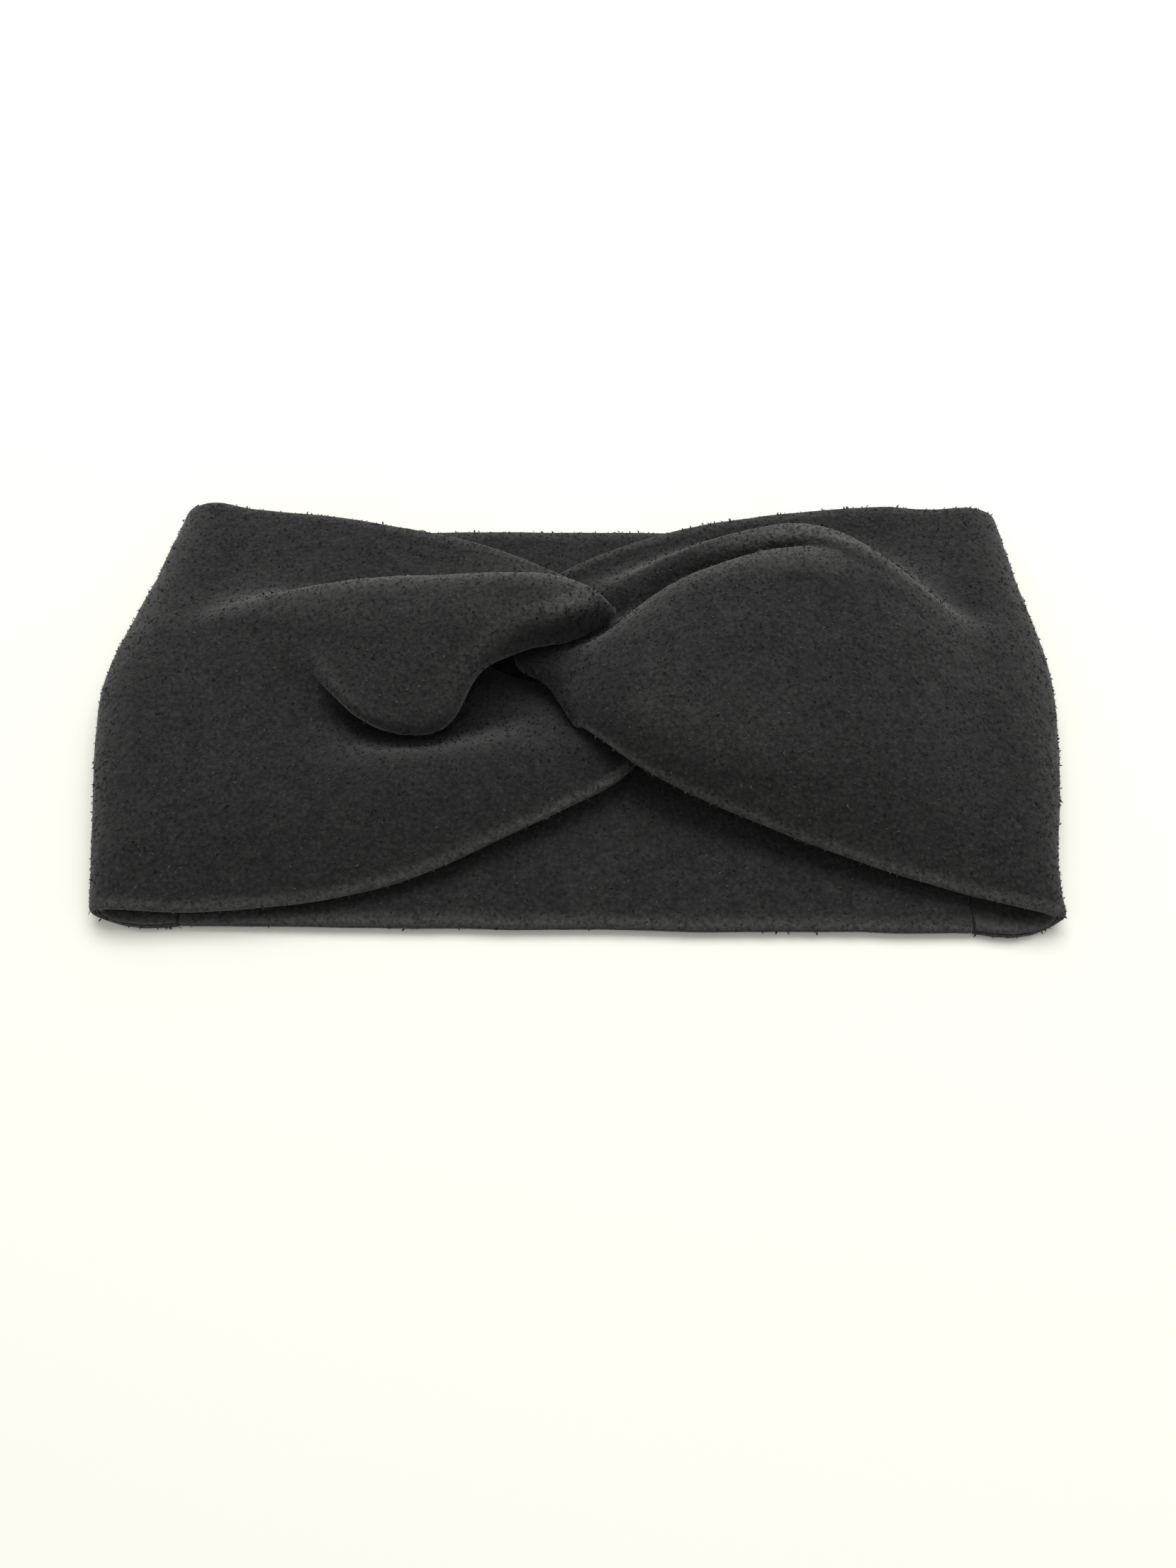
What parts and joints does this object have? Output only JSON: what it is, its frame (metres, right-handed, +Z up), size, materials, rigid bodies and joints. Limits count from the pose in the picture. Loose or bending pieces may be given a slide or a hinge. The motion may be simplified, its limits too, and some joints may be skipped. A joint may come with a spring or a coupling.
{
  "type": "knotted headband",
  "caption": "Wide double-layer fleece headband lying flat, its two front strips hooked into a soft knot over a plain back panel.",
  "frame": {"origin": "centre of the bounding box's bottom face, on the table under the band as it lies flat", "axes": "+X along the band to the right, +Y up the band's height to its top edge, +Z up through the layers, the knot on top"},
  "size_m": [0.2552, 0.1264, 0.0317],
  "materials": {
    "fleece_outer": "brushed charcoal fleece, matt with a soft pile",
    "fleece_inner": "brushed charcoal fleece, the side worn against the head",
    "thread": "matt charcoal sewing thread"
  },
  "bodies": {
    "root": {"left_strip_outer": "fleece_outer", "left_strip_inner": "fleece_inner", "right_strip_outer": "fleece_outer", "right_strip_inner": "fleece_inner", "back_panel_outer": "fleece_outer", "back_panel_inner": "fleece_inner", "left_strip_bottom_seam": "thread", "left_strip_top_seam": "thread", "right_strip_bottom_seam": "thread", "right_strip_top_seam": "thread", "back_panel_bottom_seam": "thread", "back_panel_top_seam": "thread", "left_side_seam": "thread", "right_side_seam": "thread", "knot_seam": "thread"}
  },
  "joints": []
}
